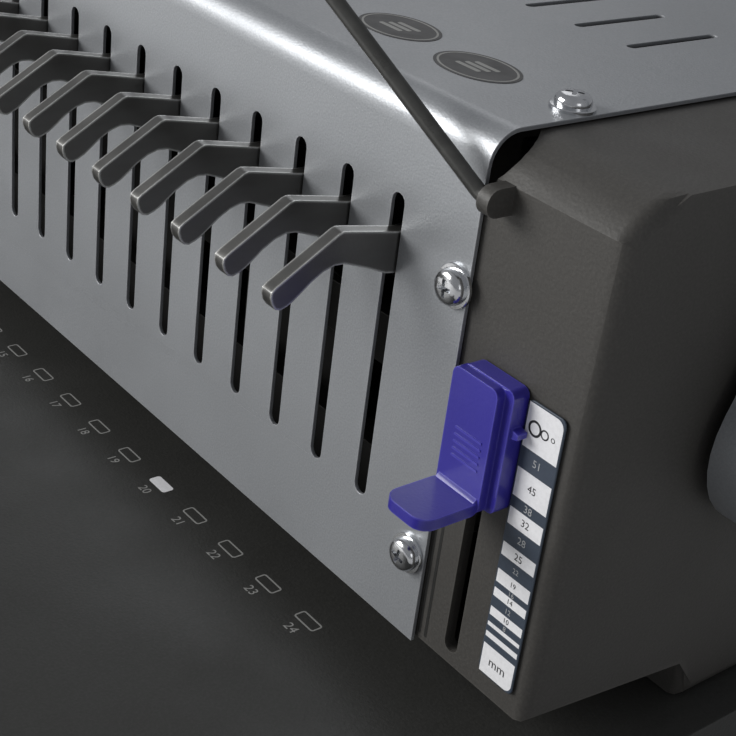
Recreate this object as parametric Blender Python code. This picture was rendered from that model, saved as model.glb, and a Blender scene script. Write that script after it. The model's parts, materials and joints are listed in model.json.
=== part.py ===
"""Comb binding machine, modelled as separate pieces at their real size.

Metres, +Z up. The comb rings run along X, the operator stands at -Y, and the front plate's
face is the plane Y = 0 until the finished machine is centred over its own footprint.
"""

from math import acos, cos, pi, radians, sin, tan

import bmesh
import bpy
from mathutils import Matrix, Vector

# Fits and mesh steps
GAP = 0.0003
OVERRUN = 0.001
ROUND_STEPS = 32
HOLE_STEPS = 16
CORNER_STEPS = 5
SMOOTH_ANGLE = radians(35)

# The ring row
RING_PITCH = 0.0142875
RING_COUNT = 24
ROW_HALF = RING_PITCH * (RING_COUNT - 1) / 2

# Heights of the base and the front plate
FOOT_HEIGHT = 0.006
BASE_HEIGHT = 0.030
PAPER_GAP = 0.013
SLOT_ABOVE_EDGE = 0.0216
SLOT_LENGTH = 0.0616
SLOT_WIDTH = 0.0034
PLATE_ABOVE_SLOT = 0.0118
BEND_RADIUS = 0.0062
SHEET = 0.0008

TRAY_TOP = FOOT_HEIGHT + BASE_HEIGHT
PLATE_BOTTOM = TRAY_TOP + PAPER_GAP
SLOT_BOTTOM = PLATE_BOTTOM + SLOT_ABOVE_EDGE
SLOT_TOP = SLOT_BOTTOM + SLOT_LENGTH
BEND_START = SLOT_TOP + PLATE_ABOVE_SLOT
COVER_TOP = BEND_START + BEND_RADIUS

# Widths and depths of the body
PLATE_MARGIN = 0.020
CASING_WIDTH = 0.030
CASING_WALL = 0.0025
CASING_FLANGE = 0.0068
CASING_DEPTH = 0.1765
THROAT_DEPTH = 0.046
SHOULDER_RADIUS = 0.0148
SHOULDER_ANGLE = radians(55)
REAR_RADIUS = 0.028
FRONT_COVER_DEPTH = 0.140

PLATE_HALF = ROW_HALF + PLATE_MARGIN
CASING_OUTER = PLATE_HALF + CASING_WIDTH
CASING_INNER = PLATE_HALF - CASING_FLANGE
CASING_FRONT = SHEET + GAP
CASING_TOP = COVER_TOP - SHEET - GAP
CASING_REAR = CASING_FRONT + CASING_DEPTH

# The drive: the lever turns this far and the hooks slide this far down
LEVER_TURN = radians(80)
HOOK_TRAVEL = 0.042
PUNCH_STROKE = 0.0075
TEETH_IN_TRAVEL = 6
TOOTH_PITCH = HOOK_TRAVEL / TEETH_IN_TRAVEL
PITCH_RADIUS = HOOK_TRAVEL / LEVER_TURN
ADDENDUM = 0.0021
DEDENDUM = 0.0027
BACKLASH = 0.0008
PRESSURE_ANGLE = radians(20)
SHAFT_RADIUS = 0.007
SHAFT_BELOW_SLOT_TOP = 0.032
SHAFT_Z = SLOT_TOP - SHAFT_BELOW_SLOT_TOP

# The hook carriage behind the front plate
CARRIAGE_THICKNESS = 0.0084
CARRIAGE_HEIGHT = 0.014
CARRIAGE_BELOW_SLOT_TOP = 0.004
RACK_BODY = 0.003
RACK_WIDTH = 0.005
RACK_END_MARGIN = 0.0033
CARRIAGE_FRONT = CASING_FRONT + CASING_WALL + GAP * 2
CARRIAGE_BACK = CARRIAGE_FRONT + CARRIAGE_THICKNESS
CARRIAGE_TOP = SLOT_TOP - CARRIAGE_BELOW_SLOT_TOP
CARRIAGE_BOTTOM = CARRIAGE_TOP - CARRIAGE_HEIGHT
RACK_ROOT = CARRIAGE_BACK + GAP + RACK_BODY
RACK_PITCH_LINE = RACK_ROOT + DEDENDUM
SHAFT_Y = RACK_PITCH_LINE + PITCH_RADIUS

# Side frames, which stand in the casings and carry the shaft and the carriage
FRAME_THICKNESS = 0.0025
FRAME_FROM_PLATE_EDGE = 0.0017
FRAME_INNER = PLATE_HALF + FRAME_FROM_PLATE_EDGE
FRAME_OUTER = FRAME_INNER + FRAME_THICKNESS


def place(axis, along, first, second):
    """Turn a distance along an axis and an outline point across it into x, y, z."""
    if axis == "X":
        return (along, first, second)
    if axis == "Y":
        return (first, along, second)
    return (first, second, along)


def prism(bm, outline, axis, start, end):
    """Add one closed solid: an outline drawn across an axis and extruded along it."""
    low = [bm.verts.new(place(axis, start, a, b)) for a, b in outline]
    high = [bm.verts.new(place(axis, end, a, b)) for a, b in outline]
    bm.faces.new(low)
    bm.faces.new(reversed(high))
    for index, vertex in enumerate(low):
        before = index - 1
        bm.faces.new((low[before], vertex, high[index], high[before]))


def box(bm, low, high):
    """Add a box between two opposite corners."""
    outline = ((low[0], low[1]), (high[0], low[1]), (high[0], high[1]), (low[0], high[1]))
    prism(bm, outline, "Z", low[2], high[2])


def arc(centre, radius, start, end, steps):
    """Points on an arc between two angles in radians, both ends included."""
    points = []
    for step in range(steps + 1):
        angle = start + (end - start) * step / steps
        points.append((centre[0] + radius * cos(angle), centre[1] + radius * sin(angle)))
    return points


def circle(centre, radius, steps=ROUND_STEPS):
    """A closed round outline."""
    return arc(centre, radius, 0, 2 * pi, steps)[:-1]


def rounded_rectangle(low, high, radius, steps=CORNER_STEPS):
    """A rectangle outline with round corners."""
    corners = (
        (high[0] - radius, high[1] - radius, 0),
        (low[0] + radius, high[1] - radius, pi / 2),
        (low[0] + radius, low[1] + radius, pi),
        (high[0] - radius, low[1] + radius, 3 * pi / 2),
    )
    points = []
    for across, up, start in corners:
        points += arc((across, up), radius, start, start + pi / 2, steps)
    return points


def hull_of_circles(first, first_radius, second, second_radius, steps=ROUND_STEPS):
    """The outline of a strap that wraps two circles, as on a lever."""
    run = Vector(second) - Vector(first)
    heading = Vector((1, 0)).angle_signed(run) * -1
    spread = acos((first_radius - second_radius) / run.length)
    half = steps // 2
    far = arc(second, second_radius, heading - spread, heading + spread, half)
    near = arc(first, first_radius, heading + spread, heading + 2 * pi - spread, half)
    return far + near


def turned(bm, profile, matrix, steps):
    """Add a solid of revolution: (radius, height) pairs that start and end at radius 0."""
    rings = []
    for radius, height in profile:
        if radius == 0:
            rings.append([bm.verts.new(matrix @ Vector((0, 0, height)))])
            continue
        ring = [bm.verts.new(matrix @ Vector((a, b, height))) for a, b in circle((0, 0), radius, steps)]
        rings.append(ring)
    for lower, upper in zip(rings, rings[1:]):
        for index in range(steps):
            before = index - 1
            corners = [lower[before % len(lower)], lower[index % len(lower)]]
            corners += [upper[index % len(upper)], upper[before % len(upper)]]
            unique = list(dict.fromkeys(corners))
            bm.faces.new(unique)


def material(name, colour, roughness, metallic=0.0):
    """A Principled material, made once for each name."""
    found = bpy.data.materials.get(name)
    if found:
        return found
    made = bpy.data.materials.new(name)
    made.use_nodes = True
    shader = made.node_tree.nodes["Principled BSDF"]
    shader.inputs["Base Color"].default_value = (*colour, 1.0)
    shader.inputs["Roughness"].default_value = roughness
    shader.inputs["Metallic"].default_value = metallic
    return made


def silver():
    return material("silver_paint", (0.34, 0.36, 0.38), 0.32, 0.85)


def dark_casing():
    return material("dark_moulding", (0.075, 0.073, 0.066), 0.5)


def base_plastic():
    return material("base_moulding", (0.035, 0.035, 0.033), 0.55)


def hook_steel():
    return material("hook_steel", (0.20, 0.20, 0.19), 0.38, 0.9)


def plain_steel():
    return material("plain_steel", (0.42, 0.42, 0.41), 0.35, 1.0)


def bright_zinc():
    return material("bright_zinc", (0.75, 0.76, 0.78), 0.2, 1.0)


def blue_plastic():
    return material("blue_moulding", (0.045, 0.035, 0.33), 0.35)


def black_rubber():
    return material("black_rubber", (0.02, 0.02, 0.02), 0.8)


def black_wire():
    return material("black_wire", (0.06, 0.06, 0.06), 0.4, 0.3)


def bronze():
    return material("bronze", (0.45, 0.28, 0.12), 0.4, 1.0)


def label_white():
    return material("label_white", (0.8, 0.8, 0.82), 0.45)


def piece(name, bm, finish, origin=(0, 0, 0)):
    """Make the named object; its geometry is given in machine places, its origin is its axis."""
    bmesh.ops.translate(bm, verts=bm.verts, vec=-Vector(origin))
    bmesh.ops.recalc_face_normals(bm, faces=bm.faces)
    mesh = bpy.data.meshes.new(name)
    bm.to_mesh(mesh)
    bm.free()
    mesh.shade_smooth()
    mesh.set_sharp_from_angle(angle=SMOOTH_ANGLE)
    mesh.materials.append(finish)
    made = bpy.data.objects.new(name, mesh)
    made.location = origin
    bpy.context.collection.objects.link(made)
    return made


def shape_tool(name, bm):
    """A helper solid for a Boolean, left out of the finished machine."""
    made = piece(name, bm, plain_steel())
    made.hide_render = True
    made.display_type = "WIRE"
    return made


def combine(target, operation, bm):
    """Add a Boolean with a helper solid to an object."""
    count = len(target.modifiers)
    helper = shape_tool(f"{target.name}_{operation.lower()}_{count}", bm)
    step = target.modifiers.new(operation.title(), "BOOLEAN")
    step.operation = operation
    step.solver = "EXACT"
    step.object = helper


def cut(target, bm):
    combine(target, "DIFFERENCE", bm)


def fuse(target, bm):
    combine(target, "UNION", bm)


def bevel_edges(bm, chosen, width, segments):
    """Round the chosen edges of a solid."""
    edges = [edge for edge in bm.edges if chosen(edge)]
    bmesh.ops.bevel(bm, geom=edges, offset=width, segments=segments, profile=0.5, affect="EDGES")


def all_at(edge, axis, value):
    """Whether an edge lies wholly at one value of x, y or z."""
    tolerance = GAP / 10
    return all(abs(vertex.co[axis] - value) < tolerance for vertex in edge.verts)


def ring_places():
    """The x of each hook, from left to right."""
    return [RING_PITCH * index - ROW_HALF for index in range(RING_COUNT)]


def hole_places():
    """The x of each punched hole: half a pitch to the left of its hook."""
    return [across - RING_PITCH / 2 for across in ring_places()]


# Edge guide: slides across the tray and squares the sheets to the holes
EDGE_GUIDE_FROM_ROW = 0.0117
EDGE_GUIDE_FOOT = 0.016
EDGE_GUIDE_WALL = 0.003
EDGE_GUIDE_LENGTH = 0.044
EDGE_GUIDE_HEIGHT = 0.012
EDGE_GUIDE_FRONT = -0.050
EDGE_GUIDE_FLOOR = 0.0025

GROOVE_BEYOND_GUIDE = 0.013

EDGE_GUIDE_RIGHT = -ROW_HALF - EDGE_GUIDE_FROM_ROW
GUIDE_GROOVE_LEFT = EDGE_GUIDE_RIGHT - EDGE_GUIDE_FOOT - GROOVE_BEYOND_GUIDE

# Base: the tray that the sheets lie on, with the drawer bay and the die pocket
BASE_BESIDE_CASING = 0.0077
BASE_BEHIND_COVER = 0.0113
BASE_FRONT = -0.150
BASE_CORNER = 0.012
BASE_EDGE = 0.002
BAY_FRONT = 0.0334
BAY_REAR = 0.0966
BAY_HEIGHT = 0.016
BAY_FLOOR = 0.003
BAY_RIGHT_END = 0.152
DIE_FRONT = 0.034
DIE_REAR = 0.060
DIE_THICKNESS = 0.006
CHIP_SLOT_WIDTH = 0.009
PIN_Y = 0.042
GUIDE_GROOVE_Y = -0.030
GUIDE_GROOVE_WIDTH = 0.004
GUIDE_GROOVE_DEPTH = 0.003
GUIDE_GROOVE_LENGTH = 0.055

BASE_HALF_WIDTH = CASING_OUTER + BASE_BESIDE_CASING
BASE_REAR = CASING_REAR + GAP + SHEET + BASE_BEHIND_COVER
DIE_HALF = CASING_INNER - GAP
BAY_BOTTOM = FOOT_HEIGHT + BAY_FLOOR
BAY_TOP = BAY_BOTTOM + BAY_HEIGHT


def base_tray():
    bm = bmesh.new()
    low = (-BASE_HALF_WIDTH, BASE_FRONT)
    high = (BASE_HALF_WIDTH, BASE_REAR)
    prism(bm, rounded_rectangle(low, high, BASE_CORNER), "Z", FOOT_HEIGHT, TRAY_TOP)
    bevel_edges(bm, lambda edge: all_at(edge, 2, TRAY_TOP), BASE_EDGE, 3)
    tray = piece("base_tray", bm, base_plastic())

    bm = bmesh.new()
    box(bm, (-BASE_HALF_WIDTH - OVERRUN, BAY_FRONT, BAY_BOTTOM), (BAY_RIGHT_END, BAY_REAR, BAY_TOP))
    cut(tray, bm)

    bm = bmesh.new()
    pocket_floor = TRAY_TOP - DIE_THICKNESS - GAP
    low = (-DIE_HALF - GAP, DIE_FRONT - GAP, pocket_floor)
    box(bm, low, (DIE_HALF + GAP, DIE_REAR + GAP, TRAY_TOP + OVERRUN))
    cut(tray, bm)

    bm = bmesh.new()
    slot_half = CHIP_SLOT_WIDTH / 2
    low = (hole_places()[0] - PIN_WIDTH, PIN_Y - slot_half, BAY_TOP - OVERRUN)
    box(bm, low, (BAY_RIGHT_END, PIN_Y + slot_half, pocket_floor + OVERRUN))
    cut(tray, bm)

    bm = bmesh.new()
    low = (GUIDE_GROOVE_LEFT, GUIDE_GROOVE_Y, TRAY_TOP - GUIDE_GROOVE_DEPTH)
    right = GUIDE_GROOVE_LEFT + GUIDE_GROOVE_LENGTH
    box(bm, low, (right, GUIDE_GROOVE_Y + GUIDE_GROOVE_WIDTH, TRAY_TOP + OVERRUN))
    cut(tray, bm)


FOOT_RADIUS = 0.011
FOOT_TAPER = 0.0015
FOOT_INSET = 0.024


def rubber_foot(name, side, depth):
    bm = bmesh.new()
    top = FOOT_HEIGHT - GAP
    profile = ((0, 0), (FOOT_RADIUS - FOOT_TAPER, 0), (FOOT_RADIUS, FOOT_TAPER), (FOOT_RADIUS, top), (0, top))
    spot = (side * (BASE_HALF_WIDTH - FOOT_INSET), depth, 0)
    turned(bm, profile, Matrix.Translation(spot), ROUND_STEPS)
    piece(name, bm, black_rubber(), spot)


def casing_outline(inset, foot):
    """A casing's side view, moved inwards by inset, with its lower edge at foot."""
    front = CASING_FRONT + inset
    top = CASING_TOP - inset
    rear = CASING_REAR - inset
    overhang = PLATE_BOTTOM + OVERRUN + inset
    throat = THROAT_DEPTH + GAP + inset
    shoulder = SHOULDER_RADIUS - inset
    shoulder_centre = (CASING_FRONT + SHOULDER_RADIUS * sin(SHOULDER_ANGLE), CASING_TOP - SHOULDER_RADIUS)
    crest_start = acos((front - shoulder_centre[0]) / shoulder)
    crest = arc(shoulder_centre, shoulder, crest_start, pi / 2, CORNER_STEPS)
    rear_centre = (CASING_REAR - REAR_RADIUS, CASING_TOP - REAR_RADIUS)
    back = arc(rear_centre, REAR_RADIUS - inset, pi / 2, 0, CORNER_STEPS + 1)
    points = [(front, overhang)] + crest + back
    points += [(rear, foot), (throat, foot), (throat, overhang)]
    return points


# The slider slot and the wire support's sockets, measured from the last hook
SLIDER_SLOT_FROM_ROW = 0.0292
SLIDER_SLOT_X = ROW_HALF + SLIDER_SLOT_FROM_ROW
SLIDER_SLOT_WIDTH = 0.0034
SLIDER_SLOT_BELOW = 0.0245
SLIDER_SLOT_LENGTH = 0.0550
BAIL_Y = -0.002
BAIL_BELOW_BEND = 0.0035
BAIL_WIRE = 0.0028
BAIL_LUG_RADIUS = 0.0025
BAIL_LUG_WIDTH = 0.0026
BAIL_BORE_DEPTH = 0.0020
BAIL_FOOT = 0.0030
BAIL_Z = BEND_START - BAIL_BELOW_BEND
BAIL_LUG_X = PLATE_HALF + BAIL_FOOT
SHAFT_HOLE_RADIUS = SHAFT_RADIUS + OVERRUN
CASING_EDGE = 0.003
MOUTH_RADIUS = 0.009
MOUTH_BEYOND_PLATE = 0.0028
MOUTH_INSET = 0.0048
MOUTH_HALF_DEPTH = 0.0085
KNOB_Y = 0.105
KNOB_Z = 0.100
KNOB_STUB_RADIUS = 0.003


def casing(name, side):
    bm = bmesh.new()
    outer = side * CASING_OUTER
    prism(bm, casing_outline(0, TRAY_TOP + GAP), "X", side * CASING_INNER, outer)
    bevel_edges(bm, lambda edge: all_at(edge, 0, outer), CASING_EDGE, 3)
    shell = piece(name, bm, dark_casing())

    bm = bmesh.new()
    inside = casing_outline(CASING_WALL, TRAY_TOP - OVERRUN)
    prism(bm, inside, "X", side * (CASING_INNER - OVERRUN), side * (CASING_OUTER - CASING_WALL))
    cut(shell, bm)

    bm = bmesh.new()
    profile = ((0, -MOUTH_HALF_DEPTH), (MOUTH_RADIUS, -MOUTH_HALF_DEPTH))
    profile += ((MOUTH_RADIUS, MOUTH_HALF_DEPTH), (0, MOUTH_HALF_DEPTH))
    across = side * (PLATE_HALF + MOUTH_BEYOND_PLATE - MOUTH_RADIUS)
    middle = (across, CASING_FRONT + MOUTH_INSET, CASING_TOP - MOUTH_INSET)
    turned(bm, profile, Matrix.Translation(middle) @ Matrix.Rotation(pi / 4, 4, "X"), ROUND_STEPS)
    cut(shell, bm)

    bm = bmesh.new()
    front = arc((BAIL_Y, BAIL_Z), BAIL_LUG_RADIUS, pi / 2, 3 * pi / 2, CORNER_STEPS * 2)
    root = CASING_FRONT + CASING_WALL / 2
    outline = front + [(root, BAIL_Z - BAIL_LUG_RADIUS), (root, BAIL_Z + BAIL_LUG_RADIUS)]
    prism(bm, outline, "X", side * BAIL_LUG_X, side * (BAIL_LUG_X + BAIL_LUG_WIDTH))
    fuse(shell, bm)

    bm = bmesh.new()
    bore = circle((BAIL_Y, BAIL_Z), BAIL_WIRE / 2 + GAP, HOLE_STEPS)
    prism(bm, bore, "X", side * (BAIL_LUG_X - OVERRUN), side * (BAIL_LUG_X + BAIL_BORE_DEPTH))
    cut(shell, bm)

    return shell


def right_casing():
    shell = casing("right_casing", 1)
    bm = bmesh.new()
    half = SLIDER_SLOT_WIDTH / 2
    top = SLOT_TOP - SLIDER_SLOT_BELOW
    low = (SLIDER_SLOT_X - half, top - SLIDER_SLOT_LENGTH)
    outline = rounded_rectangle(low, (SLIDER_SLOT_X + half, top), half - GAP / 10)
    prism(bm, outline, "Y", CASING_FRONT - OVERRUN, CASING_FRONT + CASING_WALL + OVERRUN)
    cut(shell, bm)

    bm = bmesh.new()
    hole = circle((SHAFT_Y, SHAFT_Z), SHAFT_HOLE_RADIUS)
    prism(bm, hole, "X", CASING_OUTER - CASING_WALL - OVERRUN, CASING_OUTER + OVERRUN)
    cut(shell, bm)


def left_casing():
    shell = casing("left_casing", -1)
    bm = bmesh.new()
    hole = circle((KNOB_Y, KNOB_Z), KNOB_STUB_RADIUS + GAP, HOLE_STEPS)
    prism(bm, hole, "X", -CASING_OUTER - OVERRUN, -CASING_OUTER + CASING_WALL + OVERRUN)
    cut(shell, bm)


# Openings in the folded front cover
SLIT_WIDTH = 0.0022
SLIT_LENGTH = 0.026
SLIT_FRONT = 0.060


def front_cover():
    """One sheet: the slotted front plate, the bend and the top."""
    bm = bmesh.new()
    centre = (BEND_RADIUS, BEND_START)
    outside = arc(centre, BEND_RADIUS, pi, pi / 2, CORNER_STEPS + 3)
    inside = arc(centre, BEND_RADIUS - SHEET, pi / 2, pi, CORNER_STEPS + 3)
    outline = [(0, PLATE_BOTTOM)] + outside
    outline += [(FRONT_COVER_DEPTH, COVER_TOP), (FRONT_COVER_DEPTH, COVER_TOP - SHEET)]
    outline += inside + [(SHEET, PLATE_BOTTOM)]
    prism(bm, outline, "X", -PLATE_HALF, PLATE_HALF)
    cover = piece("front_cover", bm, silver())

    bm = bmesh.new()
    half = SLOT_WIDTH / 2
    for across in ring_places():
        low = (across - half, SLOT_BOTTOM)
        outline = rounded_rectangle(low, (across + half, SLOT_TOP), half - GAP / 10, CORNER_STEPS - 2)
        prism(bm, outline, "Y", -OVERRUN, SHEET + OVERRUN)
    cut(cover, bm)

    bm = bmesh.new()
    half = SLIT_WIDTH / 2
    for across in hole_places():
        low = (across - half, SLIT_FRONT)
        high = (across + half, SLIT_FRONT + SLIT_LENGTH)
        outline = rounded_rectangle(low, high, half - GAP / 10, 2)
        prism(bm, outline, "Z", COVER_TOP - SHEET - OVERRUN, COVER_TOP + OVERRUN)
    cut(cover, bm)


def rear_cover():
    """One sheet: the back of the top, the rear bend and the rear wall."""
    bm = bmesh.new()
    centre = (CASING_REAR - REAR_RADIUS, CASING_TOP - REAR_RADIUS)
    outer_radius = REAR_RADIUS + GAP + SHEET
    outside = arc(centre, outer_radius, pi / 2, 0, CORNER_STEPS + 3)
    inside = arc(centre, REAR_RADIUS + GAP, 0, pi / 2, CORNER_STEPS + 3)
    start = FRONT_COVER_DEPTH + GAP
    foot = TRAY_TOP + GAP
    outline = [(start, COVER_TOP)] + outside
    outline += [(CASING_REAR + GAP + SHEET, foot), (CASING_REAR + GAP, foot)]
    outline += inside + [(start, COVER_TOP - SHEET)]
    prism(bm, outline, "X", -PLATE_HALF, PLATE_HALF)
    piece("rear_cover", bm, dark_casing())


# Side frames: guide slots for the carriage's tongues and seats for the bushes
TONGUE_THICKNESS = 0.004
TONGUE_HEIGHT = 0.010
BUSH_WALL = 0.003
BUSH_FLANGE = 0.0025
FRAME_CHAMFER = 0.012
FRAME_TOP_CLEARANCE = 0.003
FRAME_REAR = 0.150
CARRIAGE_MIDDLE_Y = (CARRIAGE_FRONT + CARRIAGE_BACK) / 2
CARRIAGE_MIDDLE_Z = (CARRIAGE_TOP + CARRIAGE_BOTTOM) / 2
BUSH_RADIUS = SHAFT_RADIUS + GAP + BUSH_WALL


def side_frame(name, side):
    bm = bmesh.new()
    front = CASING_FRONT + CASING_WALL + GAP
    top = CASING_TOP - CASING_WALL - FRAME_TOP_CLEARANCE
    throat = THROAT_DEPTH + CASING_WALL + OVERRUN
    sill = PLATE_BOTTOM + CASING_WALL + OVERRUN * 2
    foot = TRAY_TOP + GAP
    outline = (
        (front, sill),
        (front, top - FRAME_CHAMFER),
        (front + FRAME_CHAMFER, top),
        (FRAME_REAR - FRAME_CHAMFER, top),
        (FRAME_REAR, top - FRAME_CHAMFER),
        (FRAME_REAR, foot),
        (throat, foot),
        (throat, sill),
    )
    prism(bm, outline, "X", side * FRAME_INNER, side * FRAME_OUTER)
    frame = piece(name, bm, plain_steel())

    bm = bmesh.new()
    half = TONGUE_THICKNESS / 2 + GAP
    above = CARRIAGE_MIDDLE_Z + TONGUE_HEIGHT / 2 + GAP
    below = CARRIAGE_MIDDLE_Z - TONGUE_HEIGHT / 2 - HOOK_TRAVEL - GAP
    low = (side * (FRAME_INNER - OVERRUN), CARRIAGE_MIDDLE_Y - half, below)
    box(bm, low, (side * (FRAME_OUTER + OVERRUN), CARRIAGE_MIDDLE_Y + half, above))
    cut(frame, bm)

    bm = bmesh.new()
    seat = circle((SHAFT_Y, SHAFT_Z), BUSH_RADIUS + GAP)
    prism(bm, seat, "X", side * (FRAME_INNER - OVERRUN), side * (FRAME_OUTER + OVERRUN))
    cut(frame, bm)


def shaft_bush(name, side):
    """A bronze bush: a sleeve in the frame with a flange on the outside."""
    bm = bmesh.new()
    prism(bm, circle((SHAFT_Y, SHAFT_Z), BUSH_RADIUS), "X", side * FRAME_INNER, side * (FRAME_OUTER + GAP))
    bush = piece(name, bm, bronze())
    bm = bmesh.new()
    outside = circle((SHAFT_Y, SHAFT_Z), BUSH_RADIUS + BUSH_FLANGE)
    start = side * (FRAME_OUTER + GAP)
    prism(bm, outside, "X", start, start + side * BUSH_FLANGE)
    fuse(bush, bm)
    bm = bmesh.new()
    bore = circle((SHAFT_Y, SHAFT_Z), SHAFT_RADIUS + GAP)
    end = side * (FRAME_OUTER + GAP + BUSH_FLANGE + OVERRUN)
    prism(bm, bore, "X", side * (FRAME_INNER - OVERRUN), end)
    cut(bush, bm)


# Punch unit: die block, pin guide, posts, pins and pressure bar
PIN_WIDTH = 0.008
PIN_DEPTH = 0.003
PIN_SEAT = 0.0057
THROAT_OPENING = 0.003
STOP_BEHIND_PIN = 0.0048
GUIDE_HEIGHT = 0.013
PIN_TIP_RECESS = 0.0005
CAM_BASE_RADIUS = 0.016
BAR_HEIGHT = 0.012
BAR_FRONT = 0.036
BAR_REAR = 0.0585
POST_RADIUS = 0.003
POST_Y = 0.0535
POST_X = 0.064
POST_STAND = 0.032

PIN_GUIDE_BOTTOM = TRAY_TOP + THROAT_OPENING
PIN_GUIDE_TOP = PIN_GUIDE_BOTTOM + GUIDE_HEIGHT
CAM_RISE = PUNCH_STROKE / LEVER_TURN
CAM_CLEARANCE = GAP + CAM_RISE * CAM_RISE / (2 * CAM_BASE_RADIUS)
BAR_TOP = SHAFT_Z - CAM_BASE_RADIUS - CAM_CLEARANCE
BAR_BOTTOM = BAR_TOP - BAR_HEIGHT
BAR_LEFT = hole_places()[0] - PIN_WIDTH / 2 - GAP
BAR_RIGHT = hole_places()[-1] + PIN_WIDTH


def pin_holes(bm, bottom, top):
    """Rectangular cutters at every hole place."""
    half_width = PIN_WIDTH / 2 + GAP
    half_depth = PIN_DEPTH / 2 + GAP
    for across in hole_places():
        low = (across - half_width, PIN_Y - half_depth, bottom)
        box(bm, low, (across + half_width, PIN_Y + half_depth, top))


def die_block():
    """The die plate, level with the tray, and the step behind it that stops the sheets."""
    bm = bmesh.new()
    bottom = TRAY_TOP - DIE_THICKNESS
    stop = PIN_Y + STOP_BEHIND_PIN
    step = PIN_GUIDE_BOTTOM - GAP
    outline = ((DIE_FRONT, bottom), (DIE_REAR, bottom), (DIE_REAR, step), (stop, step))
    outline += ((stop, TRAY_TOP), (DIE_FRONT, TRAY_TOP))
    prism(bm, outline, "X", -DIE_HALF, DIE_HALF)
    block = piece("die_block", bm, plain_steel())
    bm = bmesh.new()
    pin_holes(bm, bottom - OVERRUN, TRAY_TOP + OVERRUN)
    cut(block, bm)


def pin_guide():
    bm = bmesh.new()
    low = (-DIE_HALF, DIE_FRONT, PIN_GUIDE_BOTTOM)
    box(bm, low, (DIE_HALF, DIE_REAR, PIN_GUIDE_TOP))
    guide = piece("pin_guide", bm, plain_steel())
    bm = bmesh.new()
    pin_holes(bm, PIN_GUIDE_BOTTOM - OVERRUN, PIN_GUIDE_TOP + OVERRUN)
    for side in (-1, 1):
        hole = circle((side * POST_X, POST_Y), POST_RADIUS + GAP, HOLE_STEPS)
        prism(bm, hole, "Z", PIN_GUIDE_TOP - GUIDE_HEIGHT / 2, PIN_GUIDE_TOP + OVERRUN)
    cut(guide, bm)


def guide_post(name, side):
    bm = bmesh.new()
    bottom = PIN_GUIDE_TOP - GUIDE_HEIGHT / 2 + GAP
    prism(bm, circle((side * POST_X, POST_Y), POST_RADIUS, HOLE_STEPS), "Z", bottom, PIN_GUIDE_TOP + POST_STAND)
    piece(name, bm, plain_steel())


def punch_head():
    """The pressure bar with its row of pins, which it carries down through the guide."""
    bm = bmesh.new()
    box(bm, (BAR_LEFT, BAR_FRONT, BAR_BOTTOM), (BAR_RIGHT, BAR_REAR, BAR_TOP))
    tip = PIN_GUIDE_BOTTOM + PIN_TIP_RECESS
    head = piece("punch_head", bm, plain_steel(), (0, PIN_Y, BAR_BOTTOM))

    bm = bmesh.new()
    half_width = PIN_WIDTH / 2
    half_depth = PIN_DEPTH / 2
    root = BAR_BOTTOM + PIN_SEAT
    notch = PIN_TIP_RECESS * 2
    for across in hole_places():
        outline = (
            (across - half_width, tip),
            (across, tip + notch),
            (across + half_width, tip),
            (across + half_width, root),
            (across - half_width, root),
        )
        prism(bm, outline, "Y", PIN_Y - half_depth, PIN_Y + half_depth)
    fuse(head, bm)

    bm = bmesh.new()
    for side in (-1, 1):
        hole = circle((side * POST_X, POST_Y), POST_RADIUS + GAP, HOLE_STEPS)
        prism(bm, hole, "Z", BAR_BOTTOM - OVERRUN, BAR_TOP + OVERRUN)
    cut(head, bm)


# Hooks: the outline in shares of how far a hook stands out and of how deep it is
HOOK_REACH = 0.0264
HOOK_DEPTH = 0.0122
HOOK_THICKNESS = 0.0028
HOOK_BELOW_SLOT_TOP = 0.0046
HOOK_TAIL = 0.0045
HOOK_OUTLINE_SHARES = (
    (0.0, 0.170),
    (0.420, 0.012),
    (0.466, 0.0),
    (0.500, 0.022),
    (0.965, 0.640),
    (0.997, 0.700),
    (1.0, 0.780),
    (0.985, 0.890),
    (0.955, 0.975),
    (0.915, 1.0),
    (0.870, 0.965),
    (0.820, 0.905),
    (0.760, 0.800),
    (0.690, 0.670),
    (0.600, 0.550),
    (0.515, 0.492),
    (0.435, 0.500),
    (0.250, 0.640),
    (0.080, 0.790),
    (0.0, 0.815),
)


def hook_outline():
    """A claw's side view as (y, z), its tail included."""
    top = SLOT_TOP - HOOK_BELOW_SLOT_TOP
    points = [(-HOOK_REACH * out, top - HOOK_DEPTH * down) for out, down in HOOK_OUTLINE_SHARES]
    tail = CARRIAGE_FRONT + HOOK_TAIL
    return points + [(tail, points[-1][1]), (tail, points[0][1])]


def comb_hooks():
    """One claw for each ring; together they pull the comb open."""
    for number, across in enumerate(ring_places(), start=1):
        bm = bmesh.new()
        half = HOOK_THICKNESS / 2
        prism(bm, hook_outline(), "X", across - half, across + half)
        piece(f"comb_hook_{number:02d}", bm, hook_steel(), (across, 0, CARRIAGE_MIDDLE_Z))


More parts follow.
